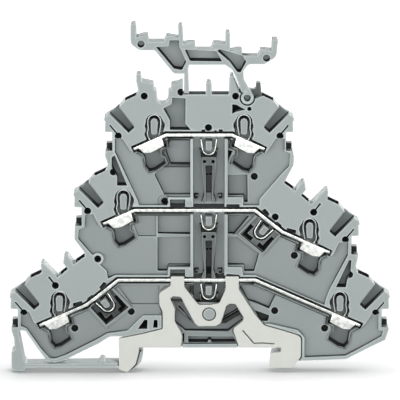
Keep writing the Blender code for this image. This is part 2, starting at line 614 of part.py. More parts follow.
SHALLOW_DEPTH = 0.6
OPENINGS = {
    "arm_rib_left": [(-18.0, 4.9), (-15.7, 4.9), (-15.6, 7.2, 0.3), (-16.4, 7.2, 0.3)],
    "arm_rib_right": [(-14.2, 5.2), (-13.1, 5.2), (-13.1, 7.2, 0.3), (-14.0, 7.2, 0.3)],
    "seat_slot": [
        (-5.4, 1.1), (-0.6, 1.1), (-0.3, 1.6), (0.1, 1.6), (0.4, 1.1), (6.6, 1.1), (5.8, 2.7),
        (-5.4, 2.6),
    ],
    "under_top_right": [(4.5, 47.8), (4.4, 50.1), (5.6, 49.9)],
    "beside_hinge": [(5.5, 59.6), (5.5, 61.9), (6.6, 61.8), (7.4, 61.3), (8.6, 60.7), (6.5, 60.1)],
    "seat_side": [(-6.85, 1.2), (-6.5, 1.2), (-6.5, 3.4), (-6.85, 3.4)],
    "left_leg_slit": strip([(-7.8, 10.4), (-6.6, 9.1), (-4.6, 6.7)], 0.35),
    "right_leg_slit": strip([(3.3, 6.8), (7.1, 9.2)], 0.4),
}
HINGE_RECESS = [
    (5.9, 70.0), (5.9, 69.4), (6.5, 67.4), (7.2, 65.0), (9.2, 63.5), (11.3, 63.4), (13.5, 64.3), (13.5, 70.0),
]
HINGE_PIN_FRONT = -1.5

CAVITY_RADIUS = LOOP_RADIUS + SPRING_STRIP / 2 + GAP + 0.05
CLAMP_CAVITY = (
    [(-1.5, -7.3), (-2.15, -5.95), (-2.4, -5.1), (-2.1, -4.05), (-2.3, -3.0)]
    + arc(LOOP_CENTRE, CAVITY_RADIUS, 180, 20, 8)
    + [(2.55, -2.3), (2.6, -3.1), (2.3, -4.05), (2.15, -5.3), (2.1, -6.4)]
)
WIRE_POCKET = [
    (-4.7, -8.7), (-4.9, -9.4), (-3.9, -9.8), (-2.8, -10.5), (-2.4, -11.4), (-2.05, -13.5),
    (-1.2, -14.7, 0.5), (0.3, -14.2), (2.75, -12.5), (2.35, -11.4), (1.6, -10.7), (1.5, -9.0),
    (3.1, -8.4), (2.7, -6.3),
]
WIRE_FUNNEL = [(-12.4, 1.4), (-6.3, -4.7), (-4.8, -3.4, 0.5), (-9.5, 2.8)]
FUNNEL_FLOOR = 0.9
TEST_SLOT = [(-11.0, -2.8), (-8.9, -5.3)]
SLOT_WIDTH = 0.35
TEST_HOLE = (-8.9, -5.5)
CAGE_HOLE = (3.75, -9.8)
PLATEAU_HOLE = (-0.95, 1.5)
PLATEAU_SLOT = [(-2.6, 3.7), (-1.2, 1.9)]
KEY_TAB = [(-11.9, -9.15), (-10.2, -9.15), (-10.2, -7.65), (-11.9, -7.65)]
PEG = [(-0.75, -5.2, 0.4), (0.7, -5.2, 0.4), (0.9, -2.0), (0.63, -1.35), (0, -1.1), (-0.63, -1.35), (-0.9, -2.0)]
PEG_FRONT = FRONT + 0.4
TILT_POCKET = [(7.7, -4.3), (11.7, -8.9), (17.2, -4.2), (13.0, 0.3)]
PLUG_SLOTS_LOCAL = [
    [(-3.4, -3.4), (-3.4, -6.7), (-0.7, -6.7), (-0.7, -5.7), (-2.5, -5.7), (-2.5, -3.4)],
    [(3.5, -2.6), (3.5, -6.7), (1.3, -6.7), (1.3, -5.7), (2.5, -5.7), (2.5, -2.6)],
]
JUMPER_CLEAR = JUMPER_RADIUS + JUMPER_STRIP / 2 + GAP
CRADLE = (
    [(-2.3, -3.7)]
    + arc((0, U_CENTRE), JUMPER_CLEAR, 190, 350, 8)
    + [(2.3, -3.7), (1.9, -6.1), (-1.9, -6.1)]
)
CRADLE_FRONT = -1.0
BAR_NOTCHES = [
    [(-1.8, 1.0), (-0.9, 1.0), (-0.9, 1.7), (-1.8, 1.7)],
    [(1.4, 1.0), (1.9, 1.0), (1.9, 1.5), (1.4, 1.5)],
    [(2.5, 1.0), (3.4, 1.0), (3.4, 1.7), (2.5, 1.7)],
]
TILTED_NOTCHES = [
    [(11.9, 2.0), (11.1, 2.4), (10.0, 1.0), (10.6, 0.2)],
    [(8.7, -1.2), (8.1, -0.9), (6.9, -1.9), (7.4, -2.5)],
    [(5.6, -2.5), (3.4, -3.1), (3.5, -3.9), (5.8, -3.3)],
]
TOOL_SLOT = [(-7.7, 4.3), (-4.9, 5.6), (-4.1, 3.9), (-6.9, 2.7)]
MARKER_SLOT_OPENINGS = [
    [(6.6, 10.3), (3.6, 8.1), (4.6, 6.6), (7.6, 8.8)],
    [(2.3, 6.9), (-0.2, 4.7), (1.0, 3.2), (3.6, 5.4)],
]
TOP_OPENINGS = [
    [(-5.1, 65.0), (-1.2, 65.0), (-1.2, 62.8), (-5.1, 62.8)],
    [(0.6, 65.0), (4.5, 65.0), (4.5, 62.8), (0.6, 62.8)],
]
OPENING_FRONT = FRONT + 0.45
OPENING_BACK = BACK - 0.8
RIM = 0.5
RIM_FRONT = -1.8
SECOND_BOSS = (-11.2, 37.3)
PLAIN_HOLES = [
    (-16.25, 64.0), (-7.2, 65.0), (6.3, 64.0), (-0.4, 56.1), (11.0, 43.5), SECOND_BOSS, (-23.95, 44.9),
    (34.8, 18.8), (16.2, 33.5), BOSS, (-19.7, 9.0), (16.2, 9.2),
]
CAGE_HOLE_UNITS = ("bottom_left", "middle_right", "bottom_right")
SMALL_HOLES = [(9.7, 60.8)]
SMALL_HOLE_RADIUS = 0.5
HOLE_DEPTH = 3.0
TAB_FRONT = 0.0


def bar_slot(deck):
    """The slot for a bar, longer than the bar by the gap at each end."""
    path = bar_path(deck)
    ends = []
    for tip, inner in ((path[0], path[1]), (path[-1], path[-2])):
        length = math.dist(tip, inner)
        along = ((tip[0] - inner[0]) / length, (tip[1] - inner[1]) / length)
        ends.append((tip[0] + along[0] * GAP, tip[1] + along[1] * GAP))
    path = [ends[0]] + path[1:-1] + [ends[1]]
    return strip(path, SLOT_TOP + SLOT_BOTTOM, (SLOT_TOP - SLOT_BOTTOM) / 2)


def cut_out(name, shapes, floor, steps=rounded, front=FRONT - PAST):
    group = new_collection(name, hidden=True)
    for label, shape in shapes.items():
        plate(f"{name}_{label}", steps(shape), front, floor, group)
    boolean(housing, "DIFFERENCE", group, "MANIFOLD")


def column_bays():
    """The shafts of the centre column, one under each bar."""
    decks = [
        (UNDER_TOP + GAP, OVER_MIDDLE - SLOT_RIB), (UNDER_MIDDLE + GAP, OVER_BOTTOM - SLOT_RIB),
        (UNDER_BOTTOM + GAP, 11.3),
    ]
    bays = {}
    for number, (top, bottom) in enumerate(decks):
        bays[f"bay_{number}"] = [(BAY_LEFT, bottom), (BAY_RIGHT, bottom), (BAY_RIGHT, top), (BAY_LEFT, top)]
    return bays


def frames():
    """The dark windows beside the column, above the middle and bottom bars."""
    windows = {}
    for label, level in (("middle", MIDDLE_LEVEL), ("bottom", BOTTOM_LEVEL)):
        low = level + SLOT_TOP - 0.2
        left_top, right_top = level + FRAME_TOP - 0.6, level + FRAME_TOP - 1.8
        windows[label + "_left"] = [(-9.9, low), (-6.2, low), (-6.2, left_top), (-9.9, left_top)]
        windows[label + "_right"] = [(4.1, low), (7.3, low), (7.3, right_top), (4.1, right_top)]
    return windows


def per_unit(units, shape):
    return {name: placed(anchor, hand, shape) for name, (anchor, hand) in units.items()}


def under_bar(deck):
    """The low rib along the lower side of a bar's slot."""
    return strip(bar_path(deck), RIM, -SLOT_BOTTOM - RIM / 2)


def top_openings():
    """The openings for tools, jumpers and markers in the faces that look up."""
    shapes = per_unit(UNITS, TOOL_SLOT)
    for number, shape in enumerate(MARKER_SLOT_OPENINGS):
        for name, (anchor, hand) in TILTED.items():
            shapes[f"marker_{number}_{name}"] = placed(anchor, hand, shape)
    for number, shape in enumerate(TOP_OPENINGS):
        shapes[f"top_{number}"] = shape
    return shapes


def plug_slots():
    """The deep slots in the corners of the tilted jumpers' pockets."""
    shapes = {}
    for name in TILTED:
        for number, shape in enumerate(PLUG_SLOTS_LOCAL):
            shapes[f"{name}_{number}"] = turned(*jumper_place(name), shape)
    return shapes


# Floors that meet at one depth differ by a hundredth, so that no two cutters share a face.
STEP = 0.01
JUMPER_ROOM = [(-2.4, 0.6)] + arc((0, U_CENTRE), JUMPER_CLEAR, 180, 360, 8) + [(2.4, 0.6)]
cut_out("recesses", RECESSES, RECESS_FLOOR)
cut_out("shallow_pockets", SHALLOW_POCKETS, RECESS_FLOOR + SHALLOW_DEPTH)
cut_out("pockets", POCKETS, POCKET_FLOOR)

# Low ribs round the wire pockets, round the tilted jumpers' pockets and under the bars

ROOTED = DEEP_FLOOR + BACK_WALL / 2
rims = new_collection("housing_rims", hidden=True)
for unit_name, (unit_anchor, unit_hand) in UNITS.items():
    rim = grown(placed(unit_anchor, unit_hand, WIRE_POCKET), RIM)
    plate("wire_rim_" + unit_name, rounded(rim), RIM_FRONT, ROOTED, rims)
for unit_name, (unit_anchor, unit_hand) in TILTED.items():
    rim = grown(placed(unit_anchor, unit_hand, TILT_POCKET), RIM + 0.2)
    plate("jumper_rim_" + unit_name, rim, RIM_FRONT - STEP, ROOTED, rims)
for deck_name in LEVELS:
    plate("bar_rim_" + deck_name, under_bar(deck_name), RIM_FRONT + STEP, ROOTED, rims)
plate("second_boss", circle(SECOND_BOSS, BOSS_RADIUS), RIM_FRONT - 2 * STEP, ROOTED, rims)
boolean(housing, "UNION", rims, "MANIFOLD")

cut_out("foot_recess", {"foot": grown(FOOT_OUTLINE, GAP)}, RECESS_FLOOR + STEP)
cut_out("funnels", per_unit(UNITS, WIRE_FUNNEL), FUNNEL_FLOOR)
cut_out("openings", OPENINGS, DEEP_FLOOR - 2 * STEP)
cut_out("frames", frames(), DEEP_FLOOR - STEP)
cut_out("bays", column_bays(), DEEP_FLOOR)
cut_out("bar_slots", {deck: bar_slot(deck) for deck in LEVELS}, DEEP_FLOOR + STEP)
cut_out("clamps", per_unit(UNITS, CLAMP_CAVITY), DEEP_FLOOR + 2 * STEP)
cut_out("wires", per_unit(UNITS, WIRE_POCKET), DEEP_FLOOR + 3 * STEP)
cut_out("tilted_jumpers", per_unit(TILTED, TILT_POCKET), CRADLE_FRONT)
rooms = {name: turned(*jumper_place(name), JUMPER_ROOM) for name in TILTED}
cut_out("tilted_openings", rooms, DEEP_FLOOR + 4 * STEP)
cut_out("plug_slots", plug_slots(), DEEP_FLOOR - 3 * STEP)
notches = {str(number): turned((COLUMN_X, TOP_LEVEL), 0, shape) for number, shape in enumerate(BAR_NOTCHES)}
for number, shape in enumerate(TILTED_NOTCHES):
    for unit_name, outline in per_unit(TILTED, shape).items():
        notches[f"{unit_name}_{number}"] = outline
cut_out("notches", notches, POCKET_FLOOR + STEP, list)
cut_out("top_openings", top_openings(), OPENING_BACK, list, OPENING_FRONT)
cut_out("hinge_recess", {"leg": HINGE_RECESS}, STEP)
cut_out("ring_recess", {"ring": circle(HINGE, RING_RADIUS + GAP, 24)}, 0.0)

# Housing pegs, pins, ribs and blocks, which stand on the back wall

COLUMN_BLOCK = [
    (-1.75, -7.9), (-1.2, -15.0), (-1.75, -17.2), (-0.75, -17.2), (-0.75, -7.7), (0.75, -7.7), (0.75, -17.2),
    (1.75, -17.2), (1.2, -15.0), (1.75, -7.9), (1.75, -5.55), (-1.75, -5.55),
]
COLUMN_PADS = [
    [(-0.9, -7.4), (0.9, -7.4), (0.9, -14.8), (-0.9, -14.8)],
    [(-3.6, -15.2), (-2.6, -15.2), (-2.6, -16.2), (-3.6, -16.2)],
    [(2.3, -15.2), (3.3, -15.2), (3.3, -16.2), (2.3, -16.2)],
]
PAD_FRONTS = [0.3, -0.8, -0.8]
BLOCK_HOLES = [(-1.05, -6.65), (1.05, -6.65)]
BLOCK_HOLE_RADIUS = 0.42
PAD_HOLES = [(-0.45, -10.1), (0.45, -10.1)]
PAD_HOLE_RADIUS = 0.3
stands = new_collection("housing_stands", hidden=True)
for unit_name, (unit_anchor, unit_hand) in UNITS.items():
    plate("peg_" + unit_name, rounded(placed(unit_anchor, unit_hand, PEG)), PEG_FRONT, ROOTED, stands)
    plate("key_tab_" + unit_name, placed(unit_anchor, unit_hand, KEY_TAB), TAB_FRONT, BACK - STEP, stands)
JUMPER_PEG = [(-0.8, -1.3), (-0.7, -3.6, 0.5), (0.7, -3.6, 0.5), (0.8, -1.3)]
for deck_name, deck_level in LEVELS.items():
    jumper_peg = rounded(turned((COLUMN_X, deck_level), 0, JUMPER_PEG))
    plate("jumper_peg_" + deck_name, jumper_peg, PEG_FRONT, ROOTED, stands)
for unit_name in TILTED:
    jumper_peg = rounded(turned(*jumper_place(unit_name), JUMPER_PEG))
    plate("jumper_peg_" + unit_name, jumper_peg, PEG_FRONT, ROOTED, stands)
for deck_name in ("top", "middle"):
    block = turned((COLUMN_X, LEVELS[deck_name]), 0, COLUMN_BLOCK)
    plate("column_block_" + deck_name, block, RECESS_FLOOR, ROOTED, stands)
    for number, shape in enumerate(COLUMN_PADS):
        pad = turned((COLUMN_X, LEVELS[deck_name]), 0, shape)
        plate(f"column_pad_{number}_{deck_name}", pad, PAD_FRONTS[number], ROOTED, stands)
for deck_name in LEVELS:
    cradle = turned((COLUMN_X, LEVELS[deck_name]), 0, CRADLE)
    plate("cradle_" + deck_name, cradle, CRADLE_FRONT, ROOTED - STEP, stands)
plate("stake", circle(STAKE, STAKE_RADIUS, 20), FOOT_FRONT + 0.1, RECESS_FLOOR + 0.5, stands)
plate("hinge_pin", circle(HINGE, HINGE_PIN_RADIUS), HINGE_PIN_FRONT, BACK_WALL, stands)
boolean(housing, "UNION", stands, "MANIFOLD")

holes = {}
for number, centre in enumerate(PLAIN_HOLES):
    holes[f"plain_{number}"] = circle(centre, HOLE_RADIUS)
for number, centre in enumerate(SMALL_HOLES):
    holes[f"small_{number}"] = circle(centre, SMALL_HOLE_RADIUS, 12)
for unit_name, (unit_anchor, unit_hand) in UNITS.items():
    centre, = placed(unit_anchor, unit_hand, [TEST_HOLE])
    holes["test_" + unit_name] = circle(centre, HOLE_RADIUS)
    holes["slit_" + unit_name] = strip(placed(unit_anchor, unit_hand, TEST_SLOT), SLOT_WIDTH)
for unit_name in CAGE_HOLE_UNITS:
    centre, = left_side(unit_name, [CAGE_HOLE])
    holes["cage_" + unit_name] = circle(centre, HOLE_RADIUS)
for unit_name, (unit_anchor, unit_hand) in TILTED.items():
    centre, = placed(unit_anchor, unit_hand, [PLATEAU_HOLE])
    holes["plateau_" + unit_name] = circle(centre, HOLE_RADIUS)
    holes["plateau_slit_" + unit_name] = strip(placed(unit_anchor, unit_hand, PLATEAU_SLOT), SLOT_WIDTH)
cut_out("holes", holes, FRONT + HOLE_DEPTH, list)
column_holes = {}
for deck_name in ("top", "middle"):
    origin = (COLUMN_X, LEVELS[deck_name])
    for number, place in enumerate(turned(origin, 0, BLOCK_HOLES)):
        column_holes[f"block_{number}_{deck_name}"] = circle(place, BLOCK_HOLE_RADIUS, 10)
    for number, place in enumerate(turned(origin, 0, PAD_HOLES)):
        column_holes[f"pad_{number}_{deck_name}"] = circle(place, PAD_HOLE_RADIUS, 8)
cut_out("column_holes", column_holes, DEEP_FLOOR - STEP, list)

# Points nearer than a few micrometres are joined, and each flat area becomes one face.
weld = housing.modifiers.new("weld", "WELD")
weld.merge_threshold = 0.003 * MM
flat_areas = housing.modifiers.new("flat_areas", "DECIMATE")
flat_areas.decimate_type = "DISSOLVE"
flat_areas.angle_limit = math.radians(0.5)
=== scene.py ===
"""Looks of a stepped three-deck terminal block, lit and framed for one picture."""

import math

import bmesh
import bpy
import numpy as np
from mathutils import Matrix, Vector
from mathutils.bvhtree import BVHTree
from mathutils.geometry import delaunay_2d_cdt


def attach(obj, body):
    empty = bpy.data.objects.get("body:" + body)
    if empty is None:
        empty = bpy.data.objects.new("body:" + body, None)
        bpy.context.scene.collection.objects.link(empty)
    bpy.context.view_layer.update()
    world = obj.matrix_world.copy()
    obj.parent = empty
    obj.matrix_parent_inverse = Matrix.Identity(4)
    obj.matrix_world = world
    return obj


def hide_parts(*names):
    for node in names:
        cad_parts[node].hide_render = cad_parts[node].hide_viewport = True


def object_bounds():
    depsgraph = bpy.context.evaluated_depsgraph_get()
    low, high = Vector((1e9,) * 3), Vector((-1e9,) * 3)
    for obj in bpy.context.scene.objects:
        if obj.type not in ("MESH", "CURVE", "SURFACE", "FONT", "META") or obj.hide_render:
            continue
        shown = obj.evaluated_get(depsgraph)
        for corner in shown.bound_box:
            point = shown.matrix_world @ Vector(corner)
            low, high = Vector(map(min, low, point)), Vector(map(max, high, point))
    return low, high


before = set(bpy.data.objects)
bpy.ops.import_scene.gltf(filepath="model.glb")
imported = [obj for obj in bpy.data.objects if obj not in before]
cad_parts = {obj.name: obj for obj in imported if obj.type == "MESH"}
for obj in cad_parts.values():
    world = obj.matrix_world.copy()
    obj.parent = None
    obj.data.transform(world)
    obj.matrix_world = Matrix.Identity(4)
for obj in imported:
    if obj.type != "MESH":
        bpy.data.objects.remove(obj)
cad_box = [list(corner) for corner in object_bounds()]
MM = 0.001

# The housing is one moulding of glass-filled polyamide 6.6 in light grey. Its open side shows the
# plateaus, the floors below them and the deep cavities that hold the clamps. Every edge is slightly
# round, as the mould leaves it.


def linear(code):
    """The linear colour of an sRGB hex value."""
    channels = [int(code[start:start + 2], 16) / 255 for start in (0, 2, 4)]
    return tuple(c / 12.92 if c <= 0.04045 else ((c + 0.055) / 1.055) ** 2.4 for c in channels) + (1.0,)


def add_node(material, kind, settings=None, values=None, links=None):
    """A shader node with its settings, its socket values and what its sockets read."""
    node = material.node_tree.nodes.new(kind)
    for name, value in (settings or {}).items():
        setattr(node, name, value)
    for name, value in (values or {}).items():
        node.inputs[name].default_value = value
    for name, source in (links or {}).items():
        material.node_tree.links.new(source, node.inputs[name])
    return node


def new_material(name):
    """An empty material with its Principled shader."""
    material = bpy.data.materials.new(name)
    material.use_nodes = True
    return material, material.node_tree.nodes["Principled BSDF"]


# An edge is rounded in full where the next one is FULL_ROOM radii away, and left sharp where it has
# room for less than LEAST_ROUND of that.
SHARP_ANGLE = math.radians(32)
FULL_ROOM = 2.4
LEAST_ROUND = 0.2
PLANE_STEP = 0.005 * MM
PARALLEL = 0.94
TINY = 1e-18


def room_weights(shape, edge):
    """How much of the rounding each sharp edge has room for, by the planes that it bounds."""
    planes = {}
    for face in shape.faces:
        reach = face.normal.dot(face.calc_center_median())
        key = (*[round(part, 2) for part in face.normal], round(reach / PLANE_STEP))
        planes.setdefault(key, []).append(face)
    room = {}
    for faces in planes.values():
        sharp = {}
        for face in faces:
            for side in face.edges:
                if side.is_manifold and side.calc_face_angle() > SHARP_ANGLE:
                    sharp[side.index] = side
        sharp = list(sharp.values())
        ends = np.array([[corner.co[:] for corner in side.verts] for side in sharp])
        names = np.array([[corner.index for corner in side.verts] for side in sharp])
        ways = ends[:, 1] - ends[:, 0]
        sizes = np.linalg.norm(ways, axis=1)
        for side, (start, stop), pair, way, size in zip(sharp, ends, names, ways, sizes):
            apart = (names[:, 0] != pair[0]) & (names[:, 0] != pair[1])
            apart &= (names[:, 1] != pair[0]) & (names[:, 1] != pair[1])
            turns = np.abs(ways @ way) < PARALLEL * sizes * size
            beside = sizes[~apart & turns]
            if len(beside):
                room[side.index] = min(room.get(side.index, 1.0), beside.min())
            others = ends[apart]
            if not len(others):
                continue
            along = stop - start
            share = np.clip(((others - start) @ along) / max(along @ along, TINY), 0, 1)
            least = np.linalg.norm(others - start - share[..., None] * along, axis=2).min()
            along = others[:, 1] - others[:, 0]
            squares = np.maximum((along * along).sum(axis=1), TINY)
            for corner in (start, stop):
                share = np.clip(((corner - others[:, 0]) * along).sum(axis=1) / squares, 0, 1)
                away = np.linalg.norm(others[:, 0] + share[:, None] * along - corner, axis=1)
                least = min(least, away.min())
            room[side.index] = min(room.get(side.index, 1.0), least)
    weights = shape.edges.layers.float.new("bevel_weight_edge")
    for side in shape.edges:
        if side.is_manifold and side.calc_face_angle() > SHARP_ANGLE:
            share = min(room.get(side.index, edge) / (FULL_ROOM * edge), 1.0)
            side[weights] = share if share > LEAST_ROUND else 0.0


STRAIGHT = 0.9999


def flat_areas(shape):
    """Groups of joined faces that look straight across the width, at one depth each, in a fixed order."""
    waiting = dict.fromkeys(face for face in shape.faces if abs(face.normal.y) > STRAIGHT)
    areas = []
    while waiting:
        front = [next(iter(waiting))]
        del waiting[front[0]]
        area = dict.fromkeys(front)
        while front:
            face = front.pop()
            for other in (other for side in face.edges for other in side.link_faces):
                if other in waiting and other.normal.dot(face.normal) > STRAIGHT:
                    del waiting[other]
                    area[other] = None
                    front.append(other)
        areas.append(area)
    return areas


# Widths in millimetres. A ring point is kept where it is RING_ROOM of the rim's width from every rim,
# which leaves out the sharp corners and the narrow necks.
RIM_WIDTH = 0.28
RING_STEP = 1.2
RING_ROOM = 0.85
LONGEST_MITRE = 1.6
OPEN_CORNER = 0.6


def inner_ring(rim_flat, pairs, side_sign):
    """Points a rim's width inside a flat outline, where it has room, and the lines between them."""
    count = len(rim_flat)
    start, way = rim_flat[pairs[:, 0]], rim_flat[pairs[:, 1]] - rim_flat[pairs[:, 0]]
    stop = start + way
    sizes = np.maximum(np.linalg.norm(way, axis=1), 1e-6)
    inward = side_sign * np.stack([-way[:, 1], way[:, 0]], axis=1) / sizes[:, None]
    total = np.zeros((count, 2))
    for end in (0, 1):
        np.add.at(total, pairs[:, end], inward)
    squares = np.maximum((total * total).sum(axis=1), 1e-9)
    ring = list(rim_flat + total * np.minimum(2 / squares, LONGEST_MITRE)[:, None] * RIM_WIDTH)
    open_corner = (np.bincount(pairs.ravel(), minlength=count) == 2) & (squares > OPEN_CORNER)
    chains = []
    for pair, size, first, along, turned in zip(pairs, sizes, start, way, inward):
        chain = [pair[0]]
        for share in np.linspace(0, 1, int(size / RING_STEP) + 2)[1:-1]:
            chain.append(len(ring))
            ring.append(first + share * along + turned * RIM_WIDTH)
        chains.append((*chain, pair[1]))
    ring = np.array(ring)
    kept = np.zeros(len(ring), bool)
    for index, point in enumerate(ring):
        if index >= count or open_corner[index]:
            share = np.clip(((point - start) * way).sum(axis=1) / sizes**2, 0, 1)
            away = np.linalg.norm(start + share[:, None] * way - point, axis=1)
            kept[index] = away.min() > RING_ROOM * RIM_WIDTH
    lines = []
    for chain, along in zip(chains, way):
        for first, second in zip(chain, chain[1:]):
            line = ring[second] - ring[first]
            if not (kept[first] and kept[second] and line @ along > 0):
                continue
            sides = []
            for end in (start - ring[first], stop - ring[first]):
                sides.append(line[0] * end[:, 1] - line[1] * end[:, 0])
            ends = []
            for end in (ring[first] - start, ring[second] - start):
                ends.append(way[:, 0] * end[:, 1] - way[:, 1] * end[:, 0])
            if not ((sides[0] * sides[1] <= 0) & (ends[0] * ends[1] <= 0)).any():
                lines.append((first, second))
    return ring, kept, lines


def lay_anew(shape, area):
    """A flat area filled again from its rims and the rings inside them, clear of its holes."""
    facing = next(iter(area)).normal.y
    rim = {}
    for face in area:
        for loop in face.loops:
            if not any(other in area for other in loop.edge.link_faces if other is not face):
                rim[loop.edge] = (loop.vert, loop.link_loop_next.vert)
    corners = list(dict.fromkeys(corner for pair in rim.values() for corner in pair))
    number = {corner: index for index, corner in enumerate(corners)}
    pairs = np.array([(number[start], number[stop]) for start, stop in rim.values()])
    rim_flat = np.array([(corner.co.x / MM, corner.co.z / MM) for corner in corners])
    ring, kept, lines = inner_ring(rim_flat, pairs, -math.copysign(1, facing))
    ring_number = {name: len(corners) + index for index, name in enumerate(np.nonzero(kept)[0])}
    lines = [(ring_number[first], ring_number[second]) for first, second in lines]
    points, _, triangles, came_from, _, _ = delaunay_2d_cdt(
        [Vector(point) for point in (*rim_flat, *ring[kept])], pairs.tolist() + lines, [], 0, 1e-5
    )
    level = corners[0].co.y
    place = []  # the mesh's own points for the triangles' corners
    for point, names in zip(points, came_from):
        if names and min(names) < len(corners):
            place.append(corners[min(names)])
        else:
            place.append(shape.verts.new((point.x * MM, level, point.y * MM)))
    flat = np.array([point[:] for point in points])
    triangles = np.array(triangles)
    middles = flat[triangles].mean(axis=1)
    start, stop = rim_flat[pairs[:, 0]], rim_flat[pairs[:, 1]]
    above = start[:, 1][None] > middles[:, 1][:, None]
    crossing = above != (stop[:, 1][None] > middles[:, 1][:, None])
    rise = np.where(np.abs(stop[:, 1] - start[:, 1]) < 1e-12, 1e-12, stop[:, 1] - start[:, 1])
    reach = start[:, 0] + (middles[:, 1][:, None] - start[:, 1]) * (stop[:, 0] - start[:, 0]) / rise
    inside = (crossing & (reach > middles[:, 0][:, None])).sum(axis=1) % 2 == 1
    inner = dict.fromkeys(side for face in area for side in face.edges if side not in rim)
    bmesh.ops.delete(shape, geom=list(area), context="FACES_ONLY")
    bmesh.ops.delete(shape, geom=list(inner), context="EDGES")
    laid = {}
    for triangle in triangles[inside]:
        if shape.faces.get([place[index] for index in triangle]):
            continue
        face = shape.faces.new([place[index] for index in triangle])
        face.normal_update()
        if face.normal.y * facing < 0:
            face.normal_flip()
        laid[face] = None
    return laid


def rim_lengths(area):
    """The lengths of a flat area's outline and of its holes, the shortest first."""
    waiting = {}
    for side in (side for face in area for side in face.edges):
        if sum(other in area for other in side.link_faces) == 1:
            waiting[side] = None
    lengths = []
    while waiting:
        front = [next(iter(waiting))]
        del waiting[front[0]]
        length = 0.0
        while front:
            side = front.pop()
            length += side.calc_length()
            for other in (other for corner in side.verts for other in corner.link_edges):
                if other in waiting:
                    del waiting[other]
                    front.append(other)
        lengths.append(length)
    return sorted(lengths)


# A floor is as open as its width is large beside its depth, and its colour is darkened by that openness, a
# painted shade. What is small and deep but not closed in by a long rim is a slot whose painted shade stops at
# LEAST_OPEN, and what is wide and deepest, at the thin back wall, gets no painted shade.
WIDE_FLOOR = 8 * MM**2
SMALL_FLOOR = 5 * MM**2
SLOT_DEPTH = 3.1 * MM
LONG_RIM = 50 * MM
LEAST_OPEN = 0.52
THIN_WALL = 60 * MM**2
THIN_WALL_DEPTH = 4 * MM
TROUGH_WIDTH = 3.5 * MM
SPECK = 0.02 * MM**2
# CREASE_SHARE and WALL_SHARE darken concave creases and walls that face another surface, a painted shade;
# ROUND_ANGLE sets the painted highlight on convex edges.
CREASE_ANGLE = math.radians(12)
CREASE_SHARE = 0.88
ROUND_ANGLE = math.radians(30)
WALL_REACH = 20 * MM
WALL_CLEAR = 0.3 * MM
WALL_SKIN = 0.02 * MM
WALL_SHARE = 0.62


def mark_depth(shape, areas, share_of_depth):
    """Points carry their openness, from 0 in a narrow, deep place to 1, which sets a painted shade, and how
    much painted highlight their rounded edge gets.
    """
    front = min(corner.co.y for corner in shape.verts)
    back = max(corner.co.y for corner in shape.verts)
    openness = shape.verts.layers.float.new("openness")
    painted_edge_light = shape.verts.layers.float.new("painted_edge_light")
    known = {}
    rounded = {}
    for area in areas:
        first = next(iter(area))
        if len(area) == 1 and len(first.verts) <= 4 and first.calc_area() < SPECK:
            continue
        size = sum(face.calc_area() for face in area)
        rims = rim_lengths(area)
        depth = first.verts[0].co.y - front if first.normal.y < 0 else 0.0
        width = 4 * size / (rims[-1] if size > WIDE_FLOOR else sum(rims))
        share = width / (width + max(depth * share_of_depth, 0.0))
        if size > SMALL_FLOOR and depth > SLOT_DEPTH and rims[-1] < LONG_RIM:
            share = max(share, LEAST_OPEN)
        if size > THIN_WALL and depth > THIN_WALL_DEPTH and width > TROUGH_WIDTH:
            share = 1.0
        turns = {corner: 0.0 for face in area for corner in face.verts}
        for side in dict.fromkeys(side for face in area for side in face.edges):
            if sum(other in area for other in side.link_faces) == 1:
                bend = side.calc_face_angle_signed(0.0)
                for corner in side.verts:
                    turns[corner] = bend if abs(bend) > abs(turns[corner]) else turns[corner]
        # Painted shade darkens a rim at a concave crease; a rim at a convex, rounded edge gets the painted
        # highlight.
        for corner, turn in turns.items():
            known[corner] = share * CREASE_SHARE if turn < -CREASE_ANGLE else share
            rounded[corner] = 1.0 if turn > CREASE_ANGLE else 0.0
    shape.normal_update()
    around = BVHTree.FromBMesh(shape)
    creases = []
    outer = set()
    for corner in shape.verts:
        bends = [side.calc_face_angle_signed(0.0) for side in corner.link_edges]
        if corner in known:
            corner[openness] = known[corner]
            corner[painted_edge_light] = rounded[corner]
            continue
        # A wall point gets the painted highlight by how sharply its edges turn outward.
        corner[painted_edge_light] = min(max(max(bends, default=0.0) / ROUND_ANGLE, 0.0), 1.0)
        if min(bends, default=0.0) < -CREASE_ANGLE:
            creases.append(corner)
        depth = max(corner.co.y - front, 0.0)
        behind = around.ray_cast(corner.co + corner.normal * WALL_CLEAR, (0, 1, 0), WALL_REACH)
        if behind[0] is None:
            depth = min(depth, back - corner.co.y)
            outer.add(corner)
        # Painted shade on a wall that faces another surface, darker the further back it stands.
        _, _, _, apart = around.ray_cast(corner.co + corner.normal * WALL_SKIN, corner.normal, WALL_REACH)
        corner[openness] = 1.0 if apart is None else WALL_SHARE * apart / (apart + depth)
    # Painted shade in creases: each one takes a darker share of its darkest neighbour.
    before = {corner: corner[openness] for corner in shape.verts}
    for corner in creases:
        least = min(before[side.other_vert(corner)] for side in corner.link_edges)
        corner[openness] = min(before[corner], (CREASE_SHARE if corner in outer else WALL_SHARE) * least)


HOUSING_EDGE = 0.13 * MM
EDGE_SEGMENTS = 2
MERGE_REACH = 0.004 * MM
FLAT_ANGLE = math.radians(0.6)
SMALL_FACE = MM**2
DOUBLE_REACH = 0.001 * MM


